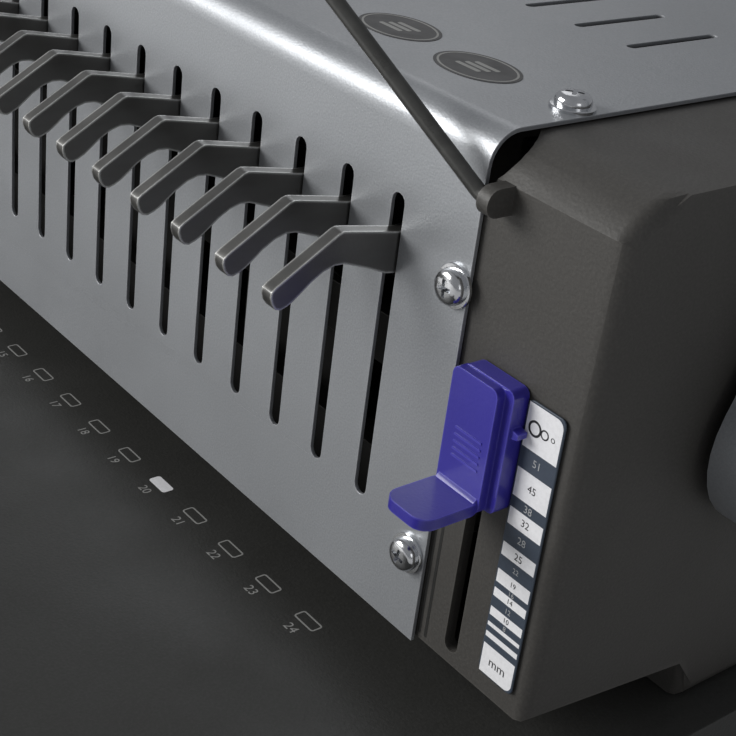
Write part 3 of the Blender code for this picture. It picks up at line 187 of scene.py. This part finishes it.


# Near-black steel for the inner pieces: painted shade standing in for the dark inside the machine
def dark_steel():
    look = Look("inner_steel_painted_shade", (0.035, 0.034, 0.033), 0.5, 0.8)
    look.tint(look.ramp(look.noise(160, 3.0, (0.06, 1, 1)), 0.3, 0.7), (0.02, 0.02, 0.019), 0.5)
    look.relief(look.noise(900, 3.0, (0.05, 1, 1)), 0.00003)
    look.worn_edges((0.12, 0.12, 0.115), 0.0006, 0.5)
    return look.made(0.08)


def bright_zinc():
    look = Look("bright_zinc_fine", (0.72, 0.73, 0.75), 0.17, 1.0)
    look.tint(look.ramp(look.noise(700, 3.0), 0.4, 0.7), (0.55, 0.56, 0.57), 0.4)
    look.relief(look.noise(1800, 3.0), 0.00002)
    return look.made(0.06, 300)


def blue_moulding():
    look = Look("blue_moulding_fine", (0.027, 0.021, 0.265), 0.34, 0.0, 0.25)
    look.tint(look.ramp(look.noise(30, 3.0), 0.35, 0.75), (0.045, 0.035, 0.38), 0.5)
    look.relief(look.noise(1600, 3.0), 0.00003)
    look.worn_edges((0.1, 0.09, 0.55), 0.0006, 0.6)
    return look.made(0.05)


def black_rubber():
    look = Look("black_rubber_fine", (0.022, 0.022, 0.023), 0.68)
    look.tint(look.ramp(look.noise(900, 4.0), 0.45, 0.75), (0.05, 0.05, 0.05), 0.5)
    look.relief(look.noise(1300, 5.0), 0.00009)
    return look.made(0.1)


def coated_wire():
    look = Look("coated_wire_fine", (0.055, 0.055, 0.052), 0.33, 0.2, 0.2)
    look.tint(look.ramp(look.noise(500, 3.0), 0.4, 0.75), (0.09, 0.09, 0.085), 0.5)
    look.relief(look.noise(900, 3.0), 0.00003)
    return look.made(0.08, 100)


def sintered_bronze():
    look = Look("sintered_bronze_fine", (0.42, 0.26, 0.11), 0.42, 1.0)
    look.tint(look.ramp(look.noise(1500, 3.0), 0.45, 0.7), (0.25, 0.15, 0.07), 0.6)
    look.relief(look.noise(1500, 3.0), 0.00004)
    return look.made(0.08)


def print_ink(name, colour, roughness=0.5):
    look = Look(name, colour, roughness)
    shade = tuple(part * 0.86 for part in colour)
    look.tint(look.ramp(look.noise(1500, 3.0), 0.4, 0.75), shade, 0.6)
    look.relief(look.noise(2500, 3.0), 0.00001)
    return look.made(0.05, 200)


DARK_MOULDING = moulded("dark_moulding_fine", (0.046, 0.0435, 0.04), (0.078, 0.074, 0.068), 0.54, 0.00006)
BASE_MOULDING = moulded("base_moulding_fine", (0.03, 0.03, 0.028), (0.052, 0.052, 0.049), 0.52, 0.00007)
SLOT_LOOKS = {
    "silver_paint": silver_paint(),
    "dark_moulding": DARK_MOULDING,
    "base_moulding": BASE_MOULDING,
    "hook_steel": hook_steel(),
    "plain_steel": machined_steel(),
    "blue_moulding": blue_moulding(),
    "black_rubber": black_rubber(),
    "black_wire": coated_wire(),
    "bronze": sintered_bronze(),
    "label_white": print_ink("label_ground", (0.045, 0.06, 0.085), 0.42),
}
ZINC = bright_zinc()
WHITE_INK = print_ink("white_ink", (0.86, 0.86, 0.88), 0.42)
GREY_INK = print_ink("grey_ink", (0.3, 0.3, 0.29), 0.55)
DIM_INK = print_ink("dim_ink", (0.4, 0.41, 0.42), 0.5)
BLACK_INK = print_ink("black_ink", (0.02, 0.02, 0.022), 0.4)

# Edges: how far each solid's sharp edges are rounded, in mm
EDGES = {
    "base_tray": 0,
    "front_cover": 0.12,
    "rear_cover": 0.2,
    "left_casing": 0.15,
    "right_casing": 0.15,
    "comb_size_slider": 0.25,
    "lever_arm": 0.6,
    "lever_grip": 0.5,
    "hub_cap": 0.3,
    "edge_guide": 0.35,
    "margin_knob": 0.3,
    "chip_drawer": 0.4,
    "wire_support": 0,
}
HOOK_EDGE = 0.3
INNER_EDGE = 0.15


def soften(shown, width):
    """Weld the imported faces, round the sharp edges and even out the shading."""
    for face in shown.data.polygons:
        face.use_smooth = True
    weld = shown.modifiers.new("Weld", "WELD")
    weld.merge_threshold = 0.01 * MM
    if width:
        bevel = shown.modifiers.new("Bevel", "BEVEL")
        bevel.width = width * MM
        bevel.segments = 2
        bevel.limit_method = "ANGLE"
        bevel.angle_limit = radians(38)
        bevel.use_clamp_overlap = True
    weighted = shown.modifiers.new("Weighted Normal", "WEIGHTED_NORMAL")
    weighted.weight = 50


# Inner pieces that the open slots show, coloured near-black as painted shade: the dark inside the machine
# behind the slots
SHADE_DARKENED_PARTS = {"hook_carriage", "pin_guide", "die_block", "punch_head", "drive_shaft"}
for inner_part in ("rack", "frame", "guide_post", "sector_gear", "punch_cam"):
    SHADE_DARKENED_PARTS |= {f"left_{inner_part}", f"right_{inner_part}"}
INNER_SHADE_STEEL = dark_steel()

slots = {part["node"]: part["material_slot"] for part in frame["record"]["subparts"]}
for name, shown in frame["nodes"].items():
    shown.data.materials.clear()
    shown.data.materials.append(INNER_SHADE_STEEL if name in SHADE_DARKENED_PARTS else SLOT_LOOKS[slots[name]])
    soften(shown, HOOK_EDGE if name.startswith("comb_hook") else EDGES.get(name, INNER_EDGE))


# Small pieces


def add(name, mesh, look, body):
    made = bpy.data.objects.new(name, mesh)
    bpy.context.scene.collection.objects.link(made)
    mesh.materials.clear()
    mesh.materials.append(look)
    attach(made, body)
    return made


def mesh_from(bm, name, smooth=True):
    bmesh.ops.recalc_face_normals(bm, faces=bm.faces)
    mesh = bpy.data.meshes.new(name)
    bm.to_mesh(mesh)
    bm.free()
    if smooth:
        mesh.shade_smooth()
        mesh.set_sharp_from_angle(angle=radians(32))
    return mesh


def prism(bm, outline, matrix, thickness):
    """A flat shape in the XY plane of matrix, given that thickness along its Z."""
    low = [bm.verts.new(matrix @ Vector((x, y, 0))) for x, y in outline]
    high = [bm.verts.new(matrix @ Vector((x, y, thickness))) for x, y in outline]
    bm.faces.new(low)
    bm.faces.new(reversed(high))
    for index, vertex in enumerate(low):
        bm.faces.new((low[index - 1], vertex, high[index], high[index - 1]))


def rounded(width, height, radius, steps=4):
    points = []
    for corner in range(4):
        start = corner * pi / 2
        x = (width / 2 - radius) * (1 if corner in (0, 3) else -1)
        y = (height / 2 - radius) * (1 if corner in (0, 1) else -1)
        for step in range(steps + 1):
            angle = start + pi / 2 * step / steps
            points.append((x + radius * cos(angle), y + radius * sin(angle)))
    return points


def ring_of(outline, inner, bm, matrix, thickness):
    """A frame between two outlines with the same number of points."""
    layers = []
    for height in (0, thickness):
        for points in (outline, inner):
            layers.append([bm.verts.new(matrix @ Vector((x, y, height))) for x, y in points])
    low_out, low_in, high_out, high_in = layers
    for index in range(len(outline)):
        before = index - 1
        bm.faces.new((low_out[before], low_out[index], low_in[index], low_in[before]))
        bm.faces.new((high_out[index], high_out[before], high_in[before], high_in[index]))
        bm.faces.new((low_out[index], low_out[before], high_out[before], high_out[index]))
        bm.faces.new((low_in[before], low_in[index], high_in[index], high_in[before]))


FACING_FRONT = Matrix(((1, 0, 0), (0, 0, -1), (0, 1, 0))).to_4x4()
FACING_UP = Matrix.Identity(4)

# Screws: a pan head with a cross recess over a captive washer, in mm
WASHER_PROFILE = ((4.05, 0.0), (4.05, 0.5), (3.9, 0.66), (3.25, 0.72))
HEAD_PROFILE = ((3.3, 1.0), (3.2, 1.75), (2.85, 2.3), (2.3, 2.62), (1.5, 2.78), (0.0, 2.84))
SCREW_STEPS = 40
CROSS_HALF_LENGTH = 2.1
CROSS_HALF_WIDTH = 0.33
CROSS_FLOOR = 1.2 * MM
CROSS_TOP = 3.6 * MM


def screw_mesh():
    bm = bmesh.new()
    rings = []
    for radius, height in WASHER_PROFILE + HEAD_PROFILE:
        if not radius:
            rings.append([bm.verts.new((0, 0, height * MM))])
            continue
        ring = []
        for step in range(SCREW_STEPS):
            angle = 2 * pi * step / SCREW_STEPS
            ring.append(bm.verts.new((radius * MM * cos(angle), radius * MM * sin(angle), height * MM)))
        rings.append(ring)
    for lower, upper in zip(rings, rings[1:]):
        for index in range(SCREW_STEPS):
            corners = [lower[index - 1], lower[index]]
            corners += [upper[index % len(upper)], upper[(index - 1) % len(upper)]]
            bm.faces.new(list(dict.fromkeys(corners)))
    bm.faces.new(reversed(rings[0]))
    head = bpy.data.objects.new("screw_head", mesh_from(bm, "screw_head"))
    bpy.context.scene.collection.objects.link(head)
    cutter_mesh = bmesh.new()
    for turn in (0, pi / 2):
        spin = Matrix.Rotation(turn, 4, "Z")
        wide = [(-CROSS_HALF_LENGTH, CROSS_HALF_WIDTH), (CROSS_HALF_LENGTH, CROSS_HALF_WIDTH)]
        wide += [(-x, -y) for x, y in wide]
        floor_points = [Vector((x * 0.35 * MM, y * MM, CROSS_FLOOR)) for x, y in wide]
        top_points = [Vector((x * MM, y * 1.25 * MM, CROSS_TOP)) for x, y in wide]
        low = [cutter_mesh.verts.new(spin @ point) for point in floor_points]
        high = [cutter_mesh.verts.new(spin @ point) for point in top_points]
        cutter_mesh.faces.new(low)
        cutter_mesh.faces.new(reversed(high))
        for index in range(4):
            cutter_mesh.faces.new((low[index - 1], low[index], high[index], high[index - 1]))
    cutter = bpy.data.objects.new("screw_cross", mesh_from(cutter_mesh, "screw_cross", False))
    bpy.context.scene.collection.objects.link(cutter)
    recess = head.modifiers.new("Cross", "BOOLEAN")
    recess.operation = "DIFFERENCE"
    recess.object = cutter
    recess.use_self = True
    bpy.context.view_layer.update()
    cut = bpy.data.meshes.new_from_object(head.evaluated_get(bpy.context.evaluated_depsgraph_get()))
    for spent in (head, cutter):
        bpy.data.objects.remove(spent, do_unlink=True)
    return cut


SCREW = screw_mesh()
SCREW_TURNS = (0.3, 1.0, -0.4, 0.7, 0.1, 1.3, -0.9, 0.5)


def place_screw(name, spot, facing, turn):
    mesh = SCREW.copy()
    mesh.transform(Matrix.Translation(spot) @ facing @ Matrix.Rotation(turn, 4, "Z"))
    mesh.shade_smooth()
    mesh.set_sharp_from_angle(angle=radians(30))
    add(name, mesh, ZINC, "machine")


PLATE_MIDDLE = (PLATE_LOW.x + PLATE_HIGH.x) / 2
SCREW_LIFT = 0.02 * MM
PLATE_SCREWS = (("upper", 17.0, -10.1), ("lower", 15.7, -65.4))
TOP_SCREWS = (("front", 15.9, 21.6), ("rear", 15.9, 122.6))


def beside_row(across, side):
    """The place at that many mm past the last hook, or its mirror image on the left."""
    return PLATE_MIDDLE + side * (LAST_HOOK + across * MM - PLATE_MIDDLE)


turns = iter(SCREW_TURNS)
for side_name, side in (("left", -1), ("right", 1)):
    for level, across, up in PLATE_SCREWS:
        spot = Vector((beside_row(across, side), FRONT - SCREW_LIFT, SLOT_TOP + up * MM))
        place_screw(f"{side_name}_{level}_plate_screw", spot, FACING_FRONT, next(turns))
    for level, across, back in TOP_SCREWS:
        spot = Vector((beside_row(across, side), FRONT + back * MM, TOP + SCREW_LIFT))
        place_screw(f"{side_name}_{level}_top_screw", spot, FACING_UP, next(turns))

# Scale: white cells and plain sizes in mm on a dark plate
SCALE_LOW, SCALE_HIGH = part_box("size_scale")
SCALE_MIDDLE = (SCALE_LOW.x + SCALE_HIGH.x) / 2
SCALE_FRONT = SCALE_LOW.y
CELLS = (
    (-21.7, -30.0),
    (-34.1, -39.7),
    (-42.0, -45.4),
    (-49.2, -51.9),
    (-54.9, -57.6),
    (-58.9, -60.7),
    (-63.0, -64.8),
    (-66.3, -67.1),
    (-68.4, -69.5),
    (-71.0, -77.2),
)
NUMBERS = (
    (51, -32.0, False),
    (45, -36.9, True),
    (38, -40.9, False),
    (32, -43.7, True),
    (28, -47.3, False),
    (25, -50.6, True),
    (22, -53.4, False),
    (19, -56.3, True),
    (16, -58.25, False),
    (14, -59.8, True),
    (12, -61.9, False),
    (10, -63.9, True),
    (8, -65.6, False),
)


INK = 0.03 * MM
THICK_INK = 0.04 * MM
LABEL_LIFT = 0.05 * MM
FONT_SIZE_SHARE = 1.38


def print_on(name, bm, look):
    add(name, mesh_from(bm, name, False), look, "machine")


def words(name, text, height, matrix, look):
    """Flat figures as a mesh, centred on matrix."""
    curve = bpy.data.curves.new(name, "FONT")
    curve.body = text
    curve.size = height * FONT_SIZE_SHARE
    curve.extrude = INK / 2
    curve.align_x = "CENTER"
    curve.align_y = "CENTER"
    curve.resolution_u = 3
    shown = bpy.data.objects.new(name, curve)
    bpy.context.scene.collection.objects.link(shown)
    bpy.context.view_layer.update()
    mesh = bpy.data.meshes.new_from_object(shown.evaluated_get(bpy.context.evaluated_depsgraph_get()))
    bpy.data.objects.remove(shown, do_unlink=True)
    mesh.transform(matrix)
    add(name, mesh, look, "machine")


def facing_front(x, y, z):
    return Matrix.Translation((x, y, z)) @ FACING_FRONT


def on_label(across, up):
    """A spot on the scale, across from its middle and up from the slots' top, in mm."""
    return facing_front(SCALE_MIDDLE + across * MM, SCALE_FRONT - LABEL_LIFT, SLOT_TOP + up * MM)


def label_end(width, height, upward):
    """The label's first or last cell, rounded at its outer corner alone."""
    radius = LABEL_CORNER
    points = [(-width / 2, -height / 2 * upward), (width / 2, -height / 2 * upward)]
    for step in range(7):
        angle = pi / 12 * step
        x = width / 2 - radius + radius * cos(angle)
        points.append((x, (height / 2 - radius + radius * sin(angle)) * upward))
    points.append((-width / 2, height / 2 * upward))
    return points


LABEL_MARGIN = 0.7 * MM
LABEL_CORNER = 1.6 * MM
CELL_CORNER = 0.05 * MM
BIG_FIGURE = 1.45 * MM
SMALL_FIGURE = 1.05 * MM
FIRST_SMALL_FIGURE = 24
UNIT_FIGURE = 2.0 * MM
UNIT_UP = -74.1
RING_MARKS_UP = -25.9
RING_MARKS = (-1.9, 0.4, 2.3)
RING_MARK_RADIUS = 1.5
RING_MARK_SHRINK = 0.25
RING_MARK_INNER_SHARE = 0.72
RING_MARK_STEPS = 24

cells = bmesh.new()
width = SCALE_HIGH.x - SCALE_LOW.x - LABEL_MARGIN
for top, bottom in CELLS:
    height = (top - bottom) * MM
    middle = SLOT_TOP + (top + bottom) / 2 * MM
    outline = rounded(width, height, CELL_CORNER)
    if top == CELLS[0][0]:
        outline = label_end(width, height, 1)
    elif bottom == CELLS[-1][1]:
        outline = label_end(width, height, -1)
    prism(cells, outline, facing_front(SCALE_MIDDLE, SCALE_FRONT, middle), THICK_INK)
print_on("scale_cells", cells, WHITE_INK)
for number, up, on_white in NUMBERS:
    size = BIG_FIGURE if number > FIRST_SMALL_FIGURE else SMALL_FIGURE
    look = BLACK_INK if on_white else DIM_INK
    words(f"scale_number_{number:02d}", str(number), size, on_label(0, up), look)
words("scale_unit", "mm", UNIT_FIGURE, on_label(0, UNIT_UP), BLACK_INK)
rings = bmesh.new()
for across in RING_MARKS:
    radius = (RING_MARK_RADIUS - RING_MARK_SHRINK * (across - RING_MARKS[0])) * MM
    angles = [2 * pi * step / RING_MARK_STEPS for step in range(RING_MARK_STEPS)]
    circle = [(radius * cos(angle), radius * sin(angle)) for angle in angles]
    inner = [(x * RING_MARK_INNER_SHARE, y * RING_MARK_INNER_SHARE) for x, y in circle]
    ring_of(circle, inner, rings, on_label(across, RING_MARKS_UP), INK)
print_on("scale_ring_marks", rings, BLACK_INK)

# Tray marks: one box and its number for each punched hole
HOLE_BEFORE_HOOK = 7.2 * MM
MARK_OUTER = (6.4 * MM, 3.0 * MM, 0.7 * MM)
MARK_INNER = (5.7 * MM, 2.3 * MM, 0.4 * MM)
MARK_FORWARD = 2.6 * MM
MARK_NUMBER = 2.3 * MM
MARK_NUMBER_FORWARD = 7.0 * MM
MARK_NUMBER_LIFT = 0.02 * MM
FILLED_MARK = 20

marks = bmesh.new()
filled = bmesh.new()
for hole in range(1, RINGS + 1):
    x = LAST_HOOK - HOLE_BEFORE_HOOK - (RINGS - hole) * PITCH
    spot = Matrix.Translation((x, FRONT - MARK_FORWARD, TRAY))
    if hole == FILLED_MARK:
        prism(filled, rounded(*MARK_OUTER), spot, THICK_INK)
    else:
        ring_of(rounded(*MARK_OUTER), rounded(*MARK_INNER), marks, spot, INK)
    spot = Matrix.Translation((x, FRONT - MARK_NUMBER_FORWARD, TRAY + MARK_NUMBER_LIFT))
    words(f"tray_number_{hole:02d}", str(hole), MARK_NUMBER, spot, GREY_INK)
print_on("tray_marks", marks, GREY_INK)
print_on("tray_filled_mark", filled, WHITE_INK)

# Two plain oval plates on the cover's top, with a generic sign of three sheets
OVALS = ((-6.9, 20.7), (-31.0, 22.5))
OVAL_HALF_WIDTH = 9.2 * MM
OVAL_HALF_DEPTH = 7.0 * MM
OVAL_STEPS = 48
OVAL_THICKNESS = 0.08 * MM
RIM_SHARES = (0.93, 0.91)
RIM_HOLE_SHARES = (0.95, 0.94)
SHEET_SIGN = (6.2 * MM, 1.0 * MM, 0.35 * MM)
SHEET_STEP = (0.7, 1.7)


def scaled(outline, shares):
    return [(x * shares[0], y * shares[1]) for x, y in outline]


oval_ground = print_ink("oval_ground", (0.02, 0.02, 0.021), 0.4)
angles = [2 * pi * step / OVAL_STEPS for step in range(OVAL_STEPS)]
oval = [(OVAL_HALF_WIDTH * cos(angle), OVAL_HALF_DEPTH * sin(angle)) for angle in angles]
for number, (across, back) in enumerate(OVALS, start=1):
    centre = here(across, back, 0)
    centre.z = TOP
    plate = bmesh.new()
    prism(plate, oval, Matrix.Translation(centre), OVAL_THICKNESS)
    print_on(f"oval_plate_{number}", plate, oval_ground)
    sign = bmesh.new()
    for layer in (-1, 0, 1):
        shift = Vector((SHEET_STEP[0] * layer * MM, SHEET_STEP[1] * layer * MM, OVAL_THICKNESS))
        prism(sign, rounded(*SHEET_SIGN), Matrix.Translation(centre + shift), INK)
    on_plate = Matrix.Translation(centre + Vector((0, 0, OVAL_THICKNESS)))
    rim = scaled(oval, RIM_SHARES)
    ring_of(rim, scaled(rim, RIM_HOLE_SHARES), sign, on_plate, INK)
    print_on(f"oval_sign_{number}", sign, GREY_INK)

# Finger lines on the slider's face
SHELF_REACH = 12.2 * MM
FINGER_LINES = 5
FINGER_LINE = (6.6 * MM, 0.42 * MM, 0.2 * MM)
FINGER_LINE_ACROSS = 30.0 * MM
FINGER_LINE_UP = -31.0
FINGER_LINE_STEP = 1.35
FINGER_LINE_SUNK = 0.05 * MM
FINGER_LINE_HEIGHT = 0.22 * MM

slider_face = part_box("comb_size_slider")[0].y + SHELF_REACH
lines = bmesh.new()
for line in range(FINGER_LINES):
    up = (FINGER_LINE_UP - line * FINGER_LINE_STEP) * MM
    spot = facing_front(LAST_HOOK + FINGER_LINE_ACROSS, slider_face + FINGER_LINE_SUNK, SLOT_TOP + up)
    prism(lines, rounded(*FINGER_LINE), spot, FINGER_LINE_HEIGHT)
line_mesh = mesh_from(lines, "slider_finger_lines")
add("slider_finger_lines", line_mesh, SLOT_LOOKS["blue_moulding"], "size_stop")

# Two dark lines of painted shade low on the right casing: the painted shadow in the gap beside the
# plate's edge, and the painted shade of a shallow groove next to it
SCALE_GAP = 0.3 * MM
SEAM_SHADOWS = (20.7, 22.4)
SEAM_SHADOW_SIZE = (0.7 * MM, 29.0 * MM, 0.2 * MM)
SEAM_SHADOW_UP = -66.5 * MM
SEAM_SHADOW_PROUD = 0.01 * MM

seam_shadow_ink = print_ink("seam_shadow", (0.012, 0.012, 0.011), 0.6)
seam_shadow_face = SCALE_HIGH.y + SCALE_GAP - SEAM_SHADOW_PROUD
seam_shadow_bm = bmesh.new()
for across in SEAM_SHADOWS:
    spot = facing_front(LAST_HOOK + across * MM, seam_shadow_face, SLOT_TOP + SEAM_SHADOW_UP)
    prism(seam_shadow_bm, rounded(*SEAM_SHADOW_SIZE), spot, INK)
seam_shadow_mesh = mesh_from(seam_shadow_bm, "casing_seam_shadows")
add("casing_seam_shadows", seam_shadow_mesh, seam_shadow_ink, "machine")

# Floor
floor_look = Look("studio_floor", (0.74, 0.74, 0.735), 0.6)
floor_look.tint(floor_look.ramp(floor_look.noise(3, 4.0), 0.3, 0.8), (0.7, 0.7, 0.7), 0.5)
floor_look.relief(floor_look.noise(160, 4.0), 0.0002)
floor_material = floor_look.made(0.05, 4)
floor_mesh = bpy.data.meshes.new("studio_floor")
FLOOR_REACH = 6.0
corners = [(-FLOOR_REACH, -FLOOR_REACH, 0), (FLOOR_REACH, -FLOOR_REACH, 0)]
corners += [(FLOOR_REACH, FLOOR_REACH, 0), (-FLOOR_REACH, FLOOR_REACH, 0)]
floor_mesh.from_pydata(corners, [], [(0, 1, 2, 3)])
floor_mesh.materials.append(floor_material)
floor = bpy.data.objects.new("studio_floor", floor_mesh)
bpy.context.scene.collection.objects.link(floor)

# Light: a soft sky, a large panel at the front left and two weak ones
world = bpy.data.worlds.new("studio")
world.use_nodes = True
bpy.context.scene.world = world
sky = world.node_tree.nodes["Background"]
sky.inputs["Color"].default_value = (0.86, 0.88, 0.92, 1)
sky.inputs["Strength"].default_value = 0.27


def panel(name, spot, aim, size, power, colour=(1, 1, 1)):
    light = bpy.data.lights.new(name, "AREA")
    light.shape = "RECTANGLE"
    light.size, light.size_y = size
    light.energy = power
    light.color = colour
    shown = bpy.data.objects.new(name, light)
    shown.location = spot
    shown.rotation_euler = (Vector(aim) - Vector(spot)).to_track_quat("-Z", "Y").to_euler()
    bpy.context.scene.collection.objects.link(shown)


panel("key_panel", (-1.28, -1.72, 1.06), (0.08, 0, 0.1), (1.4, 1.1), 53, (1.0, 0.995, 0.98))
panel("top_panel", (-0.9, 0.9, 1.1), (0, 0, 0.1), (0.5, 0.9), 1.0)
panel("side_panel", (1.5, -0.2, 0.5), (0.2, 0, 0.1), (0.5, 0.5), 0.8)

# Camera, at the photograph's place against the slots
camera_data = bpy.data.cameras.new("camera")
camera_data.lens = 73.64
camera_data.sensor_width = 36
camera_data.clip_start = 0.01
camera = bpy.data.objects.new("camera", camera_data)
bpy.context.scene.collection.objects.link(camera)
CAMERA_PLACE = (179.5, -161.8, 94.7)
right = Vector((0.61345, 0.78128, 0.11524))
up = Vector((-0.43604, 0.21343, 0.87425))
back = Vector((0.65844, -0.58656, 0.47160))
turn = Matrix((right, up, back)).transposed().to_4x4()
camera.matrix_world = Matrix.Translation(here(*CAMERA_PLACE)) @ turn
bpy.context.scene.camera = camera
bpy.context.scene.view_settings.view_transform = "Standard"
